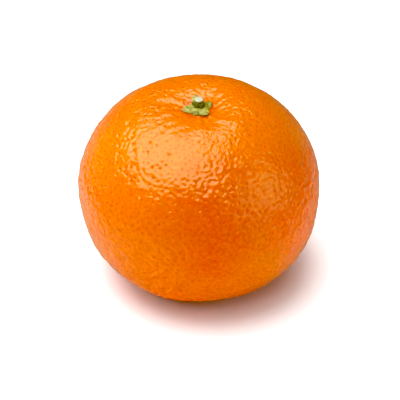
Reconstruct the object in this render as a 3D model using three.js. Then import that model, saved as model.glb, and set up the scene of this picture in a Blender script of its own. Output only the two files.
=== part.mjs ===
// A whole mandarin at rest on its blossom end, with its calyx and the cut stub of its stalk.
//
// Millimetres, +Z up. The origin is the middle of the small flat spot that the fruit rests on, and +Z runs up
// through the stem end. Azimuth 0 is +X and azimuth 90 is +Y.
//
// The fruit is one closed body: a meridian curve turned about Z, then swelled and hollowed a little as it grew.
// The calyx is a thin five-lobed cup that lies in the basin round the stem end. The stalk's stub stands on it.

import * as THREE from "three";

// Fruit
const WIDTH = 62; // across the equator, along X
const DEPTH_SHARE = 0.985; // depth along Y, as a share of the width
const EQUATOR_HEIGHT = 25.6; // of the widest ring, above the resting spot
const CROWN_HEIGHT = 51.1; // of the highest skin, which rings the stem end
const CROWN_RADIUS = 9; // of that ring
const BASIN_DEPTH = 1.1; // how far the skin sinks from that ring to the stalk
const FOOT_RADIUS = 7.5; // of the flat resting spot

// How far each end of the two meridian arcs runs straight, as a share of the arc's rise or reach. A quarter
// ellipse has 0.552 at both ends.
const LOWER_ARC = { atFoot: 0.645, atEquator: 0.547 };
const UPPER_ARC = { atEquator: 0.556, atCrown: 0.391 };

// Broad swells and hollows of the flesh, each fading out over SWELL_REACH degrees.
const SWELL_REACH = 24;
const SWELLS = [
  { azimuth: 32, latitude: 33, rise: 0.3 },
  { azimuth: 148, latitude: 33, rise: 0.4 },
  { azimuth: 193, latitude: -15, rise: -0.2 },
  { azimuth: 222, latitude: -40, rise: -0.15 },
  { azimuth: 300, latitude: -47, rise: -0.2 },
  { azimuth: 332, latitude: -30, rise: 0.4 },
];
const SWELL_FADE = 8; // over this distance outside CROWN_RADIUS they grow to full height

// Calyx
const SEAT_GAP = 0.3; // between pieces that rest on each other
const COLLAR_RADIUS = 1.9; // the round pad that the stalk stands on
const COLLAR_HEIGHT = 1.2;
const CUP_RADIUS = 2.6; // from the axis to the notches between lobes
const LOBE_HALF_WIDTH = 32; // degrees
const LOBE_EDGE = 0.4; // thickness of a lobe at its rim
const LOBES = [
  { azimuth: 30, length: 4.1 },
  { azimuth: 106, length: 4.4 },
  { azimuth: 202, length: 4.6 },
  { azimuth: 254, length: 3.2 },
  { azimuth: 302, length: 3.9 },
];

// Stalk stub
const STALK_RADIUS = 1.4;
const STALK_FOOT_RADIUS = 1.7; // where it flares onto the collar
const STALK_LENGTH = 1.3;

// Mesh steps
const AROUND_FRUIT = 64;
const STEPS_PER_ARC = 16;
const BASIN_STEPS = 4;
const AROUND_CALYX = 90;
const AROUND_STALK = 24;

const RADIUS = WIDTH / 2;
const { degToRad, smoothstep } = THREE.MathUtils;

// Height of the skin in the basin round the stem end.
function basinHeight(radius) {
  const fall = (1 + Math.cos((Math.PI * radius) / CROWN_RADIUS)) / 2;
  return CROWN_HEIGHT - BASIN_DEPTH * fall;
}

// The fruit's outline from the middle of its foot to the middle of its basin.
function fruitMeridian() {
  const outline = new THREE.Path();
  outline.moveTo(FOOT_RADIUS, 0);
  outline.bezierCurveTo(
    FOOT_RADIUS + LOWER_ARC.atFoot * (RADIUS - FOOT_RADIUS),
    0,
    RADIUS,
    EQUATOR_HEIGHT * (1 - LOWER_ARC.atEquator),
    RADIUS,
    EQUATOR_HEIGHT,
  );
  outline.bezierCurveTo(
    RADIUS,
    EQUATOR_HEIGHT + UPPER_ARC.atEquator * (CROWN_HEIGHT - EQUATOR_HEIGHT),
    CROWN_RADIUS + UPPER_ARC.atCrown * (RADIUS - CROWN_RADIUS),
    CROWN_HEIGHT,
    CROWN_RADIUS,
    CROWN_HEIGHT,
  );
  const points = [new THREE.Vector2(0, 0), ...outline.getPoints(STEPS_PER_ARC)];
  for (let step = 1; step <= BASIN_STEPS; step++) {
    const radius = CROWN_RADIUS * (1 - step / BASIN_STEPS);
    points.push(new THREE.Vector2(radius, basinHeight(radius)));
  }
  return points;
}

// A solid of revolution about Z, from an outline of (radius, height) that starts and ends on the axis.
function turned(outline, around) {
  return new THREE.LatheGeometry(outline, around).rotateX(Math.PI / 2);
}

// Moves every vertex of a geometry to where the function puts it.
function reshaped(geometry, move) {
  const positions = geometry.getAttribute("position");
  const point = new THREE.Vector3();
  for (let index = 0; index < positions.count; index++) {
    move(point.fromBufferAttribute(positions, index));
    positions.setXYZ(index, point.x, point.y, point.z);
  }
  geometry.computeVertexNormals();
  return geometry;
}

function directionAt({ azimuth, latitude }) {
  const [turn, tilt] = [degToRad(azimuth), degToRad(latitude)];
  return new THREE.Vector3(
    Math.cos(tilt) * Math.cos(turn),
    Math.cos(tilt) * Math.sin(turn),
    Math.sin(tilt),
  );
}

function fruitGeometry() {
  const middle = new THREE.Vector3(0, 0, EQUATOR_HEIGHT);
  const swells = SWELLS.map(({ rise, ...place }) => ({ rise, towards: directionAt(place) }));
  return reshaped(turned(fruitMeridian(), AROUND_FRUIT), (point) => {
    const outward = point.clone().sub(middle).normalize();
    const fromAxis = Math.hypot(point.x, point.y);
    const strength = smoothstep(fromAxis, CROWN_RADIUS, CROWN_RADIUS + SWELL_FADE);
    const rise = swells.reduce((sum, swell) => {
      const away = outward.angleTo(swell.towards) / degToRad(SWELL_REACH);
      return sum + swell.rise * Math.exp(-(away ** 2));
    }, 0);
    point.y *= DEPTH_SHARE;
    point.addScaledVector(outward, rise * strength);
  });
}

// Distance from the axis to the calyx's rim, which runs out to a point on each lobe.
function calyxReach(azimuth) {
  return LOBES.reduce((reach, lobe) => {
    const apart = Math.abs(THREE.MathUtils.euclideanModulo(azimuth - lobe.azimuth + 180, 360) - 180);
    const share = Math.max(0, 1 - apart / LOBE_HALF_WIDTH);
    return Math.max(reach, CUP_RADIUS + (lobe.length - CUP_RADIUS) * share);
  }, CUP_RADIUS);
}

// The calyx starts as a disc of radius 1 in which a share of 0.5 is the collar's edge.
function calyxGeometry() {
  const collarShare = 0.5;
  const disc = [
    [0, 0],
    [collarShare, 0],
    [1, 0],
    [1, LOBE_EDGE],
    [0.75, (LOBE_EDGE + COLLAR_HEIGHT) / 2],
    [collarShare, COLLAR_HEIGHT],
    [0, COLLAR_HEIGHT],
  ].map(([share, height]) => new THREE.Vector2(share, height));
  return reshaped(turned(disc, AROUND_CALYX), (point) => {
    const share = Math.hypot(point.x, point.y);
    const turn = Math.atan2(point.y, point.x);
    const outside = Math.max(0, (share - collarShare) / (1 - collarShare));
    const reach = calyxReach(THREE.MathUtils.radToDeg(turn));
    const collar = (Math.min(share, collarShare) / collarShare) * COLLAR_RADIUS;
    const radius = collar + (reach - COLLAR_RADIUS) * outside;
    const seat = share > collarShare ? basinHeight(radius) : basinHeight(COLLAR_RADIUS);
    point.set(radius * Math.cos(turn), radius * Math.sin(turn), seat + SEAT_GAP + point.z);
  });
}

function stalkGeometry() {
  const outline = [
    [0, 0],
    [STALK_FOOT_RADIUS, 0],
    [STALK_RADIUS, 0.35 * STALK_LENGTH],
    [STALK_RADIUS, 0.8 * STALK_LENGTH],
    [0.85 * STALK_RADIUS, STALK_LENGTH],
    [0, STALK_LENGTH],
  ].map(([radius, height]) => new THREE.Vector2(radius, height));
  return turned(outline, AROUND_STALK);
}

function piece(name, geometry, finish) {
  const mesh = new THREE.Mesh(geometry, new THREE.MeshStandardMaterial({ metalness: 0, ...finish }));
  mesh.name = name;
  return mesh;
}

const fruit = piece("fruit", fruitGeometry(), { color: 0xf27c08, roughness: 0.3 });
const calyx = piece("calyx", calyxGeometry(), { color: 0xa9a63c, roughness: 0.6 });
const stalk = piece("stalk", stalkGeometry(), { color: 0x6f7a24, roughness: 0.7 });
stalk.position.z = basinHeight(COLLAR_RADIUS) + SEAT_GAP + COLLAR_HEIGHT + SEAT_GAP;

const mandarin = new THREE.Group();
mandarin.add(fruit, calyx, stalk);

export default mandarin;
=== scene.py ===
"""A mandarin on a white studio table: peel, calyx and the cut stub of its stalk.

Lengths are in millimetres while a mesh is being shaped, and in metres once it is a Blender object. The
fruit rests on the origin with +Z up through its stem end, and azimuth 0 is +X.
"""

import math

import bmesh
import bpy
import numpy as np
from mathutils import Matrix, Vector, noise
from mathutils.geometry import interpolate_bezier
from mathutils.kdtree import KDTree


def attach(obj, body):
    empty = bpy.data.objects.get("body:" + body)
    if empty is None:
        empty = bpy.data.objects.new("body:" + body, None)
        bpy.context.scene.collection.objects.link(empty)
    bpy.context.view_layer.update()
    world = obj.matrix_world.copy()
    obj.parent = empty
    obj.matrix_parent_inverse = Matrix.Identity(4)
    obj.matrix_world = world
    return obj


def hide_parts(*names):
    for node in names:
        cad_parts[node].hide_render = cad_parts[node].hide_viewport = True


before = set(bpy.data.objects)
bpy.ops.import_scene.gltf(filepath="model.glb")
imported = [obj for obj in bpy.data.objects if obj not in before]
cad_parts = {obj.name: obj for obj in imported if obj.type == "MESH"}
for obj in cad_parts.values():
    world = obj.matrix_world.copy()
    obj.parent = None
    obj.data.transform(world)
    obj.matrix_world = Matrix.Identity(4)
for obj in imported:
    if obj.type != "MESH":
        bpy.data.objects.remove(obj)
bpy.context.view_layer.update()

MM = 0.001

# The skin's broad shape, as in the CAD model
RADIUS = 31
DEPTH_SHARE = 0.985
EQUATOR_HEIGHT = 25.6
CROWN_HEIGHT = 51.1
CROWN_RADIUS = 9
BASIN_DEPTH = 1.1
FOOT_RADIUS = 7.5
LOWER_ARC = (0.645, 0.547)
UPPER_ARC = (0.556, 0.391)
SWELL_REACH = math.radians(24)
SWELL_FADE = 8
SWELLS = [  # azimuth, latitude, rise
    (32, 33, 0.3),
    (148, 33, 0.4),
    (193, -15, -0.2),
    (222, -40, -0.15),
    (300, -47, -0.2),
    (332, -30, 0.4),
]

# Peel: an icosphere with relief of four sizes, each so high and with so many blotches to the millimetre
SKIN_SUBDIVISIONS = 6
SKIN_CUTS = 2  # in each edge, which splits it into three
WAVE_HEIGHT, WAVES_PER_MM = 0.2, 0.085
BUMP_HEIGHT, BUMPS_PER_MM = 0.1, 0.4
LUMP_HEIGHT, LUMPS_PER_MM = 0.16, 0.62  # on the sides and the underside only
RIPPLE_HEIGHT, RIPPLES_PER_MM = 0.11, 1.1  # twice as high on the rumpled cheek
FOOT_FADE = 7  # outside the flat foot, relief grows to full height over this distance

# Peel: oil glands
GLAND_SPACING = (0.95, 1.45)
GLAND_RADIUS = (0.4, 0.54)
GLAND_DEPTH = (0.03, 0.1)
GLAND_REACH = 1.1  # beyond this a gland's pit has faded out
GLANDS_FAINT_WITHIN = 5  # of the axis
GLANDS_FULL_FROM = 12  # from the axis
FAINT_SHARE = 0.3  # how deep the faint ones are beside the full ones
DEEP_GLANDS = 0.2  # share of those on the key-lit cheek that are WIDER and DEEPER
WIDER = 0.06
DEEPER = 0.17

# Peel: furrows that run out from the calyx
PUCKERS = 15
PUCKER_DEPTH = 0.2
PUCKER_RISE = (2.2, 5.5)  # distances from the axis over which they grow
PUCKER_FALL = (9, 19)  # and fade out
PUCKERED_SIDE = -125  # azimuth of the side where they are deepest
SMOOTH_SIDE_SHARE = 0.3  # of that depth on the far side
VALLEYS = [  # azimuth, reach from the axis, half width and depth of the broad ones
    (-106, 15, 3.2, 0.42),
    (-68, 18, 1.5, 0.3),
    (-22, 13, 1.6, 0.2),
    (170, 16, 2.2, 0.22),
    (70, 14, 2.0, 0.2),
]

# Peel: marks and colours
SCAR_RADIUS = 1.6  # of the dry spot where the blossom sat
SCAR_DEPTH = 0.5
RED_AND_SHADED_CHEEK = (0.15, -0.93, 0.33)  # which way the skin is reddest: partly a blush of its own, partly painted shade on the least-lit front
RUDDY_CHEEK = (0.85, -0.45, 0.25)  # which way it is a little red
KEY_LIT_CHEEK = (-0.7, -0.19, 0.69)  # which way it is yellowest: painted light, where the key light falls most
RUMPLED_CHEEK = (0.49, -0.71, 0.5)  # which way the skin is most rippled

# Calyx
CUP_RADIUS = 2.55
COLLAR_RADIUS = 1.9
COLLAR_HEIGHT = 1.35
LOBE_THICKNESS = 0.85  # beside the collar
TIP_THICKNESS = 0.45
SUNK = 0.1  # how far the cup's middle is sunk into the peel
LOBES = [  # azimuth, half width in degrees, length, lift of the tip, dryness of the tip, painted shade of the lobe
    (31, 38, 3.9, 0.15, 0.4, 0.4),
    (101, 34, 5.0, 0.35, 1.0, 0.1),
    (198, 44, 4.7, 0.15, 1.0, 0.0),
    (254, 30, 3.2, -0.2, 0.0, 0.8),
    (302, 40, 4.1, 0.25, 0.6, 0.0),
]

# Stalk
STALK_RADIUS = 1.15
STALK_TOP = 53.2
STALK_SUNK = 0.25  # into the calyx's collar
CUT_RIM = (0.32, 0.12)  # below the top, bark turns to cut wood between these heights


def smoothstep(low, high, value):
    share = np.clip((value - low) / (high - low), 0, 1)
    return share * share * (3 - 2 * share)


def sampled(points, field):
    """A scalar field of one point, at each of these points."""
    return np.array([field(Vector(point)) for point in points])


def direction(azimuth, latitude):
    turn, tilt = math.radians(azimuth), math.radians(latitude)
    return np.array([math.cos(tilt) * math.cos(turn), math.cos(tilt) * math.sin(turn), math.sin(tilt)])


def kd_tree(points):
    tree = KDTree(len(points))
    for index, point in enumerate(points):
        tree.insert(point, index)
    tree.balance()
    return tree


# ---------------------------------------------------------------- the skin's broad shape


def basin_height(radius):
    """Height of the skin round the stem end."""
    fall = (1 + np.cos(np.pi * np.minimum(radius, CROWN_RADIUS) / CROWN_RADIUS)) / 2
    return CROWN_HEIGHT - BASIN_DEPTH * fall


def meridian():
    """(radius, height) of the skin from the middle of the foot to the stem end."""
    foot = Vector((FOOT_RADIUS, 0))
    equator = Vector((RADIUS, EQUATOR_HEIGHT))
    crown = Vector((CROWN_RADIUS, CROWN_HEIGHT))
    out = Vector((1, 0))
    up = Vector((0, 1))
    reach = RADIUS - FOOT_RADIUS
    lower = interpolate_bezier(
        foot,
        foot + out * LOWER_ARC[0] * reach,
        equator - up * LOWER_ARC[1] * EQUATOR_HEIGHT,
        equator,
        200,
    )
    upper = interpolate_bezier(
        equator,
        equator + up * UPPER_ARC[0] * (CROWN_HEIGHT - EQUATOR_HEIGHT),
        crown + out * UPPER_ARC[1] * (RADIUS - CROWN_RADIUS),
        crown,
        200,
    )
    flat = [(radius, 0) for radius in np.linspace(0, FOOT_RADIUS, 60)]
    inner = [(radius, basin_height(radius)) for radius in np.linspace(CROWN_RADIUS, 0, 60)]
    return np.array(flat + [tuple(p) for p in lower[1:]] + [tuple(p) for p in upper[1:]] + inner[1:])


def skin_points(towards):
    """Points of the smooth skin in these directions from the middle of the equator."""
    outline = meridian() - (0, EQUATOR_HEIGHT)
    outline_tilt = np.arctan2(outline[:, 1], outline[:, 0])
    tilt = np.arcsin(np.clip(towards[:, 2], -1, 1))
    distance = np.interp(tilt, outline_tilt, np.hypot(outline[:, 0], outline[:, 1]))
    points = towards * distance[:, None]
    points[:, 2] += EQUATOR_HEIGHT

    from_axis = np.hypot(points[:, 0], points[:, 1])
    rise = np.zeros(len(points))
    for azimuth, latitude, height in SWELLS:
        away = np.arccos(np.clip(towards @ direction(azimuth, latitude), -1, 1)) / SWELL_REACH
        rise += height * np.exp(-(away**2))
    rise *= smoothstep(CROWN_RADIUS, CROWN_RADIUS + SWELL_FADE, from_axis)
    points[:, 1] *= DEPTH_SHARE
    return points + towards * rise[:, None]


# ---------------------------------------------------------------- meshes


def piece_of(name, points, faces, material, slot, *nodes):
    """A smooth shaded object that rides on the fruit's one body and stands for its CAD nodes."""
    mesh = bpy.data.meshes.new(name)
    mesh.from_pydata([tuple(point) for point in np.asarray(points) * MM], [], faces)
    mesh.shade_smooth()
    mesh.materials.append(material)
    made = bpy.data.objects.new(name, mesh)
    bpy.context.scene.collection.objects.link(made)
    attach(made, "root")
    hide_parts(*nodes)
    return made


def normals_of(points, faces):
    mesh = bpy.data.meshes.new("scratch")
    mesh.from_pydata([tuple(point) for point in points], [], faces)
    normals = np.empty(len(points) * 3, np.float32)
    mesh.vertex_normals.foreach_get("vector", normals)
    bpy.data.meshes.remove(mesh)
    return normals.reshape(-1, 3).astype(float)


def add_attribute(made, name, kind, domain, values):
    attribute = made.data.attributes.new(name, kind, domain)
    field = "vector" if kind == "FLOAT_VECTOR" else "value"
    attribute.data.foreach_set(field, np.asarray(values, np.float32).ravel())


def geodesic_sphere():
    """Evenly spread directions and the triangles that join them."""
    ball = bmesh.new()
    bmesh.ops.create_icosphere(ball, subdivisions=SKIN_SUBDIVISIONS, radius=1)
    bmesh.ops.subdivide_edges(ball, edges=ball.edges, cuts=SKIN_CUTS, use_grid_fill=True)
    towards = np.array([vertex.co.normalized() for vertex in ball.verts])
    ball.verts.index_update()
    faces = [[vertex.index for vertex in face.verts] for face in ball.faces]
    ball.free()
    return towards, faces


def spread_out(points, tree, spacing, rng):
    """Indices of points in random order, each clear of those before it by a distance from spacing."""
    free = np.ones(len(points), bool)
    chosen = []
    for index in rng.permutation(len(points)):
        if free[index]:
            chosen.append(index)
            reach = rng.uniform(*spacing)
            free[[near for _, near, _ in tree.find_range(points[index], reach)]] = False
    return np.array(chosen)


def pucker_depth(points):
    """How deep the furrows are that run out from the calyx."""
    from_axis = np.hypot(points[:, 0], points[:, 1])
    azimuth = np.arctan2(points[:, 1], points[:, 0])
    sway = sampled(points, lambda p: noise.noise(p * 0.16 + Vector((5, 0, 3))))
    fade = sampled(points, lambda p: noise.noise(p * 0.12 + Vector((0, 9, 1))))
    wave = np.sin(PUCKERS * azimuth + 5 * sway)
    furrow = (1 - wave) / 2
    near = smoothstep(*PUCKER_RISE, from_axis) * (1 - smoothstep(*PUCKER_FALL, from_axis))
    facing = points @ direction(PUCKERED_SIDE, 0) / np.maximum(from_axis, 1)
    near *= SMOOTH_SIDE_SHARE + (1 - SMOOTH_SIDE_SHARE) * smoothstep(-0.3, 0.6, facing)
    depth = PUCKER_DEPTH * furrow * near * np.clip(0.75 + fade, 0, 1.4)
    for turn, reach, half_width, sunk in VALLEYS:
        along = points[:, :2] @ direction(turn, 0)[:2]
        aside = points[:, :2] @ direction(turn + 90, 0)[:2] + 1.5 * sway
        ends = smoothstep(1.5, 5, along) * (1 - smoothstep(0.55 * reach, reach, along))
        depth += sunk * ends * np.exp(-((aside / half_width) ** 2))
    return depth * (points[:, 2] > EQUATOR_HEIGHT)


def make_fruit(material):
    rng = np.random.default_rng(7)
    towards, faces = geodesic_sphere()
    points = skin_points(towards)
    normals = normals_of(points, faces)
    from_axis = np.hypot(points[:, 0], points[:, 1])
    below = points[:, 2] < EQUATOR_HEIGHT
    off_foot = 1 - (1 - smoothstep(FOOT_RADIUS, FOOT_RADIUS + FOOT_FADE, from_axis)) * below

    waves = sampled(points, lambda p: noise.fractal(p * WAVES_PER_MM, 1.0, 2.0, 2))
    bumps = sampled(points, lambda p: noise.noise(p * BUMPS_PER_MM))
    ripples = sampled(points, lambda p: noise.noise(p * RIPPLES_PER_MM + Vector((3, 1, 4))))
    ripples *= 1 + smoothstep(0.88, 0.96, towards @ RUMPLED_CHEEK)
    lumps = sampled(points, lambda p: noise.noise(p * LUMPS_PER_MM + Vector((8, 2, 6))))
    lumps *= 1 - smoothstep(0.2, 0.6, towards[:, 2])
    relief = WAVE_HEIGHT * waves + BUMP_HEIGHT * bumps + RIPPLE_HEIGHT * ripples + LUMP_HEIGHT * lumps
    relief = relief * off_foot - pucker_depth(points)

    tree = kd_tree(points)
    glands = spread_out(points, tree, GLAND_SPACING, rng)
    deep = (rng.random(len(glands)) < DEEP_GLANDS) & (towards[glands] @ KEY_LIT_CHEEK > 0.8)
    deep &= from_axis[glands] > CROWN_RADIUS
    full = smoothstep(GLANDS_FAINT_WITHIN, GLANDS_FULL_FROM, from_axis[glands])
    depths = rng.uniform(*GLAND_DEPTH, len(glands)) + DEEPER * deep
    depths *= FAINT_SHARE + (1 - FAINT_SHARE) * full
    radii = rng.uniform(*GLAND_RADIUS, len(glands)) + WIDER * deep
    gland_tree = kd_tree(points[glands])
    for index, point in enumerate(points):
        for _, gland, away in gland_tree.find_range(point, GLAND_REACH):
            relief[index] -= depths[gland] * math.exp(-((away / radii[gland]) ** 2))

    scar = below * np.exp(-((from_axis / SCAR_RADIUS) ** 2))
    relief -= SCAR_DEPTH * scar
    points = points + normals * relief[:, None]
    points[:, 2] = np.maximum(points[:, 2], 0)

    fruit = piece_of("mandarin_fruit", points, faces, material, "peel", "fruit")
    corners = points[np.array(faces)]
    nearest = np.array([gland_tree.find(centre)[1] for centre in corners.mean(axis=1)])
    add_attribute(fruit, "gland_place", "FLOAT_VECTOR", "FACE", points[glands][nearest] * MM)
    add_attribute(fruit, "gland_radius", "FLOAT", "FACE", radii[nearest])
    add_attribute(fruit, "gland_depth", "FLOAT", "FACE", depths[nearest])
    add_attribute(fruit, "scar", "FLOAT", "POINT", scar)
    return fruit


def fan(rings, around):
    """Faces of a closed skin made of a first point, rings of points, and a last point."""
    faces = [(0, 1 + (step + 1) % around, 1 + step) for step in range(around)]
    for ring in range(rings - 1):
        start = 1 + ring * around
        for step in range(around):
            after = (step + 1) % around
            faces.append((start + step, start + after, start + around + after, start + around + step))
    last = 1 + rings * around
    start = last - around
    faces += [(start + step, start + (step + 1) % around, last) for step in range(around)]
    return faces


def lobe_at(azimuth):
    """(share, lobe) of the calyx lobe at this azimuth: 1 on its axis, and 0 in the notch beside it."""
    best = (0, LOBES[0])
    for lobe in LOBES:
        apart = abs((azimuth - math.radians(lobe[0]) + math.pi) % (2 * math.pi) - math.pi)
        share = 1 - apart / math.radians(lobe[1])
        if share > best[0]:
            best = (share, lobe)
    return best


def calyx_column(azimuth, share):
    """Radius, underside height, thickness, dryness and painted shade of the calyx.

    share is how far out the place is, from 0 on the axis to 1 at the rim.
    """
    strength, (_, _, length, lift, dry, dark) = lobe_at(azimuth)
    rim = CUP_RADIUS + (length - CUP_RADIUS) * strength**0.95
    radius = share * rim
    outside = float(smoothstep(COLLAR_RADIUS, length, radius))
    raised = float(smoothstep(CUP_RADIUS - 0.5, length, radius)) * lift * strength
    under = float(basin_height(radius)) - SUNK * (1 - outside) + raised
    collar = 1 - float(smoothstep(COLLAR_RADIUS - 0.4, COLLAR_RADIUS + 0.7, radius))
    leaf = LOBE_THICKNESS - (LOBE_THICKNESS - TIP_THICKNESS) * outside
    thickness = leaf * (0.72 + 0.28 * strength) + (COLLAR_HEIGHT - leaf) * collar
    dry *= max(outside * strength, 0.8 * float(smoothstep(0.88, 1, share)) * min(1, 3 * strength))
    # painted shade: darker lobes, darkest on the short one that hangs down in shade
    dark *= float(smoothstep(COLLAR_RADIUS, COLLAR_RADIUS + 0.5, radius)) * min(1, 2 * strength)
    return radius, under, thickness, dry, dark


def make_calyx(material):
    around, rings = 300, 46
    top, bottom, dryness, painted_shade = [], [], [], []
    for ring in range(1, rings + 1):
        share = ring / rings
        closing = math.sqrt(max(0, 1 - share**9))
        for step in range(around):
            azimuth = 2 * math.pi * step / around
            radius, under, thickness, dry, dark = calyx_column(azimuth, share)
            x, y = radius * math.cos(azimuth), radius * math.sin(azimuth)
            grain = 0.09 * noise.noise(Vector((x, y, 4)) * 1.4)
            grain += 0.035 * noise.noise(Vector((x, y, 8)) * 4)
            height = thickness * (1 + grain) * closing
            if ring < rings:
                bottom.append((x, y, under))
            top.append((x, y, under + height))
            dryness.append(dry)
            painted_shade.append(dark)
    top_middle = (0, 0, float(basin_height(0)) + COLLAR_HEIGHT)
    bottom_middle = (0, 0, float(basin_height(0)) - SUNK)

    def from_rim(values):
        """The values of every ring inside the rim, outermost ring first."""
        inner = [values[ring * around:(ring + 1) * around] for ring in range(rings - 1)]
        return [value for ring in reversed(inner) for value in ring]

    points = [top_middle] + top + from_rim(bottom) + [bottom_middle]
    faces = [face[::-1] for face in fan(2 * rings - 1, around)]
    calyx = piece_of("mandarin_calyx", points, faces, material, "calyx", "calyx")
    for name, values in (("dryness", dryness), ("painted_shade", painted_shade)):
        add_attribute(calyx, name, "FLOAT", "POINT", [0] + values + from_rim(values) + [0])
    return calyx


def make_stalk(material):
    """The stub stands on the calyx's collar, with a knobbly foot and a pale cut face."""
    around = 96
    seat = float(basin_height(0)) + COLLAR_HEIGHT - STALK_SUNK
    profile = [  # share of the height, share of the radius
        (0.0, 1.0),
        (0.12, 1.3),
        (0.26, 1.36),
        (0.38, 1.24),
        (0.48, 1.08),
        (0.6, 1.0),
        (0.75, 1.0),
        (0.86, 0.98),
        (0.93, 0.93),
        (0.97, 0.87),
        (0.985, 0.8),
        (0.99, 0.7),
        (1.0, 0.5),
        (1.0, 0.25),
    ]
    points = [(0, 0, seat)]
    for rise, share in profile:
        for step in range(around):
            azimuth = 2 * math.pi * step / around
            knobs = 1 + 0.1 * math.cos(6 * azimuth + 0.6) * math.exp(-(((rise - 0.2) / 0.2) ** 2))
            radius = STALK_RADIUS * share * knobs
            x, y = radius * math.cos(azimuth), radius * math.sin(azimuth)
            rough = noise.noise(Vector((x, y, rise * 3)) * 1.5)
            radius *= 1 + 0.05 * rough
            height = seat + (STALK_TOP - seat) * rise + 0.05 * rough * (rise > 0.9)
            points.append((radius * math.cos(azimuth), radius * math.sin(azimuth), height))
    points.append((0, 0, STALK_TOP))
    return piece_of("mandarin_stalk", points, fan(len(profile), around), material, "stalk", "stalk")


# ---------------------------------------------------------------- materials


class Shading:
    """Writes a material's nodes as nested calls. A socket passed as a value is linked."""

    def __init__(self, name):
        self.material = bpy.data.materials.new(name)
        self.material.use_nodes = True
        self.tree = self.material.node_tree
        self.surface = self.tree.nodes["Principled BSDF"]

    def put(self, socket, value):
        if isinstance(value, bpy.types.NodeSocket):
            self.tree.links.new(value, socket)
        else:
            socket.default_value = value

    def node(self, kind, inputs, output=0, **settings):
        made = self.tree.nodes.new(kind)
        for name, value in settings.items():
            setattr(made, name, value)
        for name, value in inputs.items():
            self.put(made.inputs[name], value)
        return made.outputs[output]

    def math(self, operation, first, second=0.0):
        return self.node("ShaderNodeMath", {0: first, 1: second}, operation=operation)

    def dot(self, vector, axis):
        inputs = {0: vector, 1: axis}
        return self.node("ShaderNodeVectorMath", inputs, output="Value", operation="DOT_PRODUCT")

    def place(self):
        """The point in millimetres, in the object's own frame."""
        spot = self.node("ShaderNodeTexCoord", {}, output="Object")
        return self.node("ShaderNodeVectorMath", {0: spot, "Scale": 1000.0}, operation="SCALE")

    def attribute(self, name, output="Fac"):
        return self.node("ShaderNodeAttribute", {}, output=output, attribute_name=name)

    def noise(self, size, detail=2.0, where=None):
        """Noise from 0 to 1 whose blotches are about this many millimetres across."""
        inputs = {"Vector": where or self.place(), "Scale": 1 / size, "Detail": detail}
        return self.node("ShaderNodeTexNoise", inputs)

    def ramp(self, value, low, high, to_low=0.0, to_high=1.0):
        inputs = {"Value": value, "From Min": low, "From Max": high, "To Min": to_low, "To Max": to_high}
        return self.node("ShaderNodeMapRange", inputs, interpolation_type="SMOOTHSTEP")

    def mix(self, share, first, second):
        inputs = {"Factor": share, "A": first, "B": second}
        made = self.tree.nodes.new("ShaderNodeMix")
        made.data_type = "RGBA"
        for name, value in inputs.items():
            sockets = [s for s in made.inputs if s.name == name and s.enabled]
            self.put(sockets[0], value)
        return [s for s in made.outputs if s.enabled][0]

    def bump(self, height):
        """height is in metres."""
        return self.node("ShaderNodeBump", {"Height": height, "Distance": 1.0, "Strength": 1.0})

    def finish(self, **inputs):
        for name, value in inputs.items():
            self.put(self.surface.inputs[name.replace("_", " ")], value)
        return self.material


def srgb(red, green, blue):
    def linear(value):
        value /= 255
        return value / 12.92 if value <= 0.04045 else ((value + 0.055) / 1.055) ** 2.4

    return (linear(red), linear(green), linear(blue), 1.0)


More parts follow.
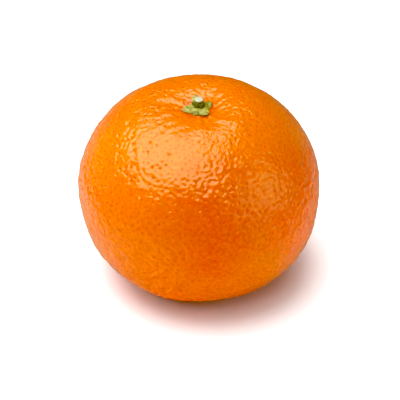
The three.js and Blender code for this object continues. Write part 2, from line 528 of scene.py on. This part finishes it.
def peel_material():
    s = Shading("citrus_peel")
    place = s.place()

    # how far from the nearest gland's centre, as a share of its radius
    spot = s.node("ShaderNodeTexCoord", {}, output="Object")
    gland = s.attribute("gland_place", "Vector")
    apart = s.node("ShaderNodeVectorMath", {0: spot, 1: gland}, output="Value", operation="DISTANCE")
    apart = s.math("MULTIPLY", apart, 1000.0)
    radius = s.attribute("gland_radius")
    depth = s.attribute("gland_depth")
    share = s.math("DIVIDE", apart, radius)
    pit = s.ramp(share, 0.0, 1.05, 1.0, 0.0)
    dot = s.ramp(share, 0.25, 1.1, 1.0, 0.0)

    # colour: paler towards the stem, redder on the cheeks with painted shade on the least-lit front,
    # yellower with painted light where the key light falls, mottled, with darker glands and painted shade
    # round the calyx
    drift = s.ramp(s.noise(14, 2.0, place), 0.3, 0.7, -0.1, 0.1)
    outward = s.node("ShaderNodeVectorMath", {0: place, 1: (0, 0, EQUATOR_HEIGHT)}, operation="SUBTRACT")
    outward = s.node("ShaderNodeVectorMath", {0: outward}, operation="NORMALIZE")
    stemward = s.dot(outward, (0, 0, 1))
    up = s.math("ADD", stemward, drift)
    red = s.math("ADD", s.dot(outward, RED_AND_SHADED_CHEEK), s.math("MULTIPLY", drift, 0.5))
    ruddy = s.math("ADD", s.dot(outward, RUDDY_CHEEK), s.math("MULTIPLY", drift, 0.5))
    key_lit = s.math("ADD", s.dot(outward, KEY_LIT_CHEEK), s.math("MULTIPLY", drift, 0.5))
    skin = s.mix(s.ramp(up, -0.75, -0.35), srgb(236, 88, 0), srgb(213, 94, 0))
    skin = s.mix(s.ramp(up, 0.0, 0.85), skin, srgb(236, 117, 0))
    # partly painted shade: redder and darker on the least-lit front
    skin = s.mix(s.ramp(red, 0.8, 1.02), skin, srgb(212, 71, 0))
    skin = s.mix(s.ramp(ruddy, 0.8, 1.02), skin, srgb(226, 75, 0))
    # painted light: the skin yellower and paler where the key light falls most
    skin = s.mix(s.ramp(key_lit, 0.91, 1.05), skin, srgb(238, 126, 2))
    skin = s.mix(s.ramp(s.noise(3.2, 2.0, place), 0.3, 0.75, 0.0, 0.2), skin, srgb(234, 112, 0))
    skin = s.mix(s.ramp(s.noise(0.9, 3.0, place), 0.4, 0.7, 0.0, 0.35), skin, srgb(238, 120, 2))
    dark = s.math("MULTIPLY", dot, s.ramp(depth, 0.02, 0.2, 0.45, 0.6))
    skin = s.mix(dark, skin, s.mix(s.ramp(up, 0.2, 0.9), srgb(206, 60, 0), srgb(224, 84, 0)))
    from_axis = s.node("ShaderNodeVectorMath", {0: place, 1: (1, 1, 0)}, operation="MULTIPLY")
    from_axis = s.node("ShaderNodeVectorMath", {0: from_axis}, output="Value", operation="LENGTH")
    # painted shade: the skin redder and darker in a ring round the calyx, where its lobes shade it
    painted_calyx_shade = s.math("MULTIPLY", s.ramp(from_axis, 3.2, 5.5, 0.6, 0.0), s.ramp(up, 0.3, 0.6))
    skin = s.mix(painted_calyx_shade, skin, srgb(206, 64, 0))
    skin = s.mix(s.attribute("scar"), skin, srgb(120, 84, 40))

    # bumps, in metres: grain all over, gland pits, and fine creases round the top
    grain = s.math("MULTIPLY", s.noise(0.9, 0.3, place), 0.0001)
    crease = s.math("ABSOLUTE", s.math("SUBTRACT", s.noise(1.3, 1.0, place), 0.5))
    crease = s.ramp(crease, 0.0, 0.09, -0.00005, 0.0)
    creased = s.math("MULTIPLY", s.ramp(stemward, 0.68, 0.86), s.ramp(stemward, 0.92, 0.97, 1.0, 0.3))
    crease = s.math("MULTIPLY", crease, creased)
    pits = s.math("MULTIPLY", s.math("MULTIPLY", pit, depth), -0.0006)
    height = s.math("ADD", pits, s.math("ADD", grain, crease))
    rough = s.ramp(s.noise(2.0, 2.0, place), 0.3, 0.7, 0.11, 0.16)
    return s.finish(
        Base_Color=skin,
        Roughness=rough,
        IOR=1.42,
        Specular_Tint=(0.85, 1.0, 0.52, 1.0),
        Subsurface_Weight=0.5,
        Subsurface_Radius=(1.0, 0.35, 0.1),
        Subsurface_Scale=0.0015,
        Normal=s.bump(height),
    )


def calyx_material():
    s = Shading("calyx_flesh")
    place = s.place()
    blotch = s.ramp(s.noise(1.3, 3.0, place), 0.35, 0.65)
    green = s.mix(blotch, srgb(124, 126, 22), srgb(188, 184, 80))
    speck = s.ramp(s.noise(0.3, 2.0, place), 0.5, 0.7, 0.0, 0.6)
    green = s.mix(speck, green, srgb(206, 202, 120))
    # painted shade on the lobes that hang in shade
    green = s.mix(s.attribute("painted_shade"), green, srgb(104, 100, 10))
    dry = s.ramp(s.math("ADD", s.attribute("dryness"), s.ramp(speck, 0, 0.6, -0.1, 0.1)), 0.35, 0.95)
    skin = s.mix(dry, green, srgb(184, 132, 70))
    height = s.math("MULTIPLY", s.noise(0.35, 3.0, place), 0.0001)
    return s.finish(
        Base_Color=skin,
        Roughness=s.ramp(blotch, 0, 1, 0.45, 0.6),
        IOR=1.4,
        Specular_IOR_Level=0.3,
        Subsurface_Weight=0.15,
        Subsurface_Radius=(0.6, 0.8, 0.2),
        Subsurface_Scale=0.0008,
        Normal=s.bump(height),
    )


def stalk_material():
    s = Shading("stalk_bark_and_cut")
    place = s.place()
    height = s.node("ShaderNodeSeparateXYZ", {0: place}, output="Z")
    face = s.ramp(height, STALK_TOP - CUT_RIM[0], STALK_TOP - CUT_RIM[1])
    streak = s.ramp(s.noise(0.55, 3.0, place), 0.4, 0.62)
    bark = s.mix(streak, srgb(50, 56, 4), srgb(128, 132, 40))
    blotch = s.ramp(s.noise(0.4, 3.0, place), 0.3, 0.7)
    wood = s.mix(blotch, srgb(168, 176, 146), srgb(206, 200, 166))
    grain = s.math("MULTIPLY", s.noise(0.4, 3.0, place), 0.00012)
    return s.finish(
        Base_Color=s.mix(face, bark, wood),
        Roughness=s.ramp(streak, 0, 1, 0.5, 0.65),
        IOR=1.4,
        Normal=s.bump(grain),
    )


def table_material():
    s = Shading("white_table")
    paper = s.mix(s.noise(40, 2.0), srgb(240, 240, 240), srgb(242, 242, 242))
    return s.finish(Base_Color=paper, Roughness=0.9, Specular_IOR_Level=0.0)


# ---------------------------------------------------------------- the studio


def add_camera():
    """600 mm from the fruit and 39 degrees above the table, as wide as 103 mm at the fruit."""
    distance = 0.6
    tilt = math.radians(39)
    aside, lowered = 0.00029, 0.00413  # aim, from the middle of the fruit
    back = Vector((0, -math.cos(tilt), math.sin(tilt)))
    up = Vector((0, math.sin(tilt), math.cos(tilt)))
    aim = Vector((aside, 0, 0.026)) - up * lowered
    data = bpy.data.cameras.new("camera")
    data.sensor_width = 36
    data.lens = 210.1
    camera = bpy.data.objects.new("camera", data)
    camera.location = aim + back * distance
    camera.rotation_mode = "QUATERNION"
    camera.rotation_quaternion = (-back).to_track_quat("-Z", "Y")
    bpy.context.scene.collection.objects.link(camera)
    bpy.context.scene.camera = camera


def add_softbox(name, place, facing, width, height, radiance, only_on=None, seen_as="both"):
    """A light that shines along facing. radiance is in units of the white surroundings.

    A "gloss" light is seen by glossy shading alone and is a rectangle. A "glow" light is seen by everything
    else and is oval, and so is a light seen by "both".
    """
    data = bpy.data.lights.new(name, "AREA")
    data.shape = "RECTANGLE" if seen_as == "gloss" else "ELLIPSE"
    fullness = 1 if seen_as == "gloss" else math.pi / 4
    data.size = width
    data.size_y = height
    data.energy = radiance * math.pi * width * height * fullness
    light = bpy.data.objects.new(name, data)
    light.location = place
    light.rotation_mode = "QUATERNION"
    light.rotation_quaternion = (-Vector(facing)).to_track_quat("Z", "Y")
    light.visible_diffuse = seen_as != "gloss"
    light.visible_glossy = seen_as != "glow"
    if only_on:
        lit = bpy.data.collections.new(name + "_receivers")
        for made in only_on:
            lit.objects.link(made)
        light.light_linking.receiver_collection = lit
    bpy.context.scene.collection.objects.link(light)


def add_surroundings():
    """A dim room, brighter below the horizon and to the sides.

    Glossy skin sees its lower half in place of the table.
    """
    world = bpy.data.worlds.new("studio")
    world.use_nodes = True
    tree = world.node_tree
    sky = tree.nodes["Background"]
    spot = tree.nodes.new("ShaderNodeTexCoord")
    parts = tree.nodes.new("ShaderNodeSeparateXYZ")
    tree.links.new(spot.outputs["Generated"], parts.inputs[0])
    height = tree.nodes.new("ShaderNodeMapRange")
    height.inputs["From Min"].default_value = -1
    tree.links.new(parts.outputs["Z"], height.inputs["Value"])
    bands = tree.nodes.new("ShaderNodeValToRGB")
    stops = bands.color_ramp.elements
    shades = [  # how far up it lies, from -1 straight down to 1 straight up, and how bright it is
        (-0.98, 0.1),
        (-0.82, 0.75),
        (-0.5, 1.0),
        (-0.25, 0.42),
        (-0.02, 0.4),
        (0.06, 0.08),
    ]
    for index, (up, grey) in enumerate(shades):
        stop = stops[index] if index < 2 else stops.new((up + 1) / 2)
        stop.position = (up + 1) / 2
        stop.color = (grey, grey, grey, 1) if up > -0.1 else (0.95 * grey, grey, 0.78 * grey, 1)
    dimmest = 0.1  # how far right the dimmest upright band lies
    off_dimmest = tree.nodes.new("ShaderNodeMath")
    off_dimmest.operation = "SUBTRACT"
    off_dimmest.inputs[1].default_value = dimmest
    tree.links.new(parts.outputs["X"], off_dimmest.inputs[0])
    aside = tree.nodes.new("ShaderNodeMath")
    aside.operation = "ABSOLUTE"
    tree.links.new(off_dimmest.outputs[0], aside.inputs[0])
    strength = tree.nodes.new("ShaderNodeMapRange")
    strength.interpolation_type = "SMOOTHSTEP"
    strength.inputs["From Max"].default_value = 0.9
    strength.inputs["To Min"].default_value = 0.25
    strength.inputs["To Max"].default_value = 1.3
    tree.links.new(aside.outputs[0], strength.inputs["Value"])
    tree.links.new(strength.outputs[0], sky.inputs["Strength"])
    tree.links.new(height.outputs[0], bands.inputs[0])
    tree.links.new(bands.outputs[0], sky.inputs["Color"])
    bpy.context.scene.world = world


def add_table():
    mesh = bpy.data.meshes.new("table")
    half = 20
    corners = [(-half, -half, 0), (half, -half, 0), (half, half, 0), (-half, half, 0)]
    mesh.from_pydata(corners, [], [(0, 1, 2, 3)])
    mesh.materials.append(table_material())
    table = bpy.data.objects.new("table", mesh)
    table.visible_glossy = False
    bpy.context.scene.collection.objects.link(table)
    return table


def add_shadow_card():
    """A glowing dark card below the table: the painted reflection of the shaded ground under the fruit, for
    glossy skin alone, which doesn't see the table.
    """
    s = Shading("shaded_ground")
    ground = s.finish(
        Base_Color=(0, 0, 0, 1),
        Specular_IOR_Level=0.0,
        Emission_Color=srgb(130, 62, 41),
        Emission_Strength=1.0,
    )
    around = 96
    radius = 0.022
    middle = 0.003  # right of the fruit's axis, as the shadow falls
    below_table = -0.0005
    turns = [2 * math.pi * step / around for step in range(around)]
    rim = [(middle + radius * math.cos(turn), radius * math.sin(turn), below_table) for turn in turns]
    mesh = bpy.data.meshes.new("shadow_card")
    mesh.from_pydata(rim, [], [tuple(range(around))])
    mesh.materials.append(ground)
    card = bpy.data.objects.new("shadow_card", mesh)
    card.visible_camera = False
    card.visible_diffuse = False
    card.visible_shadow = False
    bpy.context.scene.collection.objects.link(card)


def set_film():
    """Standard contrast, with a bent dark end of the blue curve that keeps pale sheen on orange rich."""
    view = bpy.context.scene.view_settings
    view.view_transform = "Standard"
    view.use_curve_mapping = True
    blue = view.curve_mapping.curves[2]
    for exposure, shown in ((0.035, 0.003), (0.08, 0.055), (0.16, 0.14)):
        blue.points.new(exposure, shown)
    view.curve_mapping.update()


add_camera()
add_surroundings()
set_film()

table = add_table()
add_shadow_card()
fruit = [make_fruit(peel_material()), make_calyx(calyx_material()), make_stalk(stalk_material())]

# The key hangs to the left and the fill stands to the right. Each is a "glow" light for how pale the skin
# is and a "gloss" one for its highlight. The two table lights set how soft the shadow is.
DOWN = (0, 0, -1)
LEFT = (-0.97, 0.23, 0)
add_softbox("key_softbox", (-0.8, 0.05, 1.13), DOWN, 2.35, 2.5, 2.9, fruit, "glow")
add_softbox("key_sparkle", (-0.74, -0.05, 1.17), DOWN, 2.1, 2.0, 7.3, fruit, "gloss")
add_softbox("table_wash", (-0.52, 0, 1.13), DOWN, 2.3, 2.4, 2.5, [table])
add_softbox("table_core", (-0.3, 0.1, 1.2), DOWN, 1.2, 1.2, 5.4, [table])
add_softbox("fill_softbox", (0.97, -0.23, 0.36), LEFT, 1.25, 0.72, 1.1, None, "glow")
add_softbox("fill_sparkle", (0.92, -0.46, 0.46), LEFT, 1.0, 0.85, 2.9, fruit, "gloss")
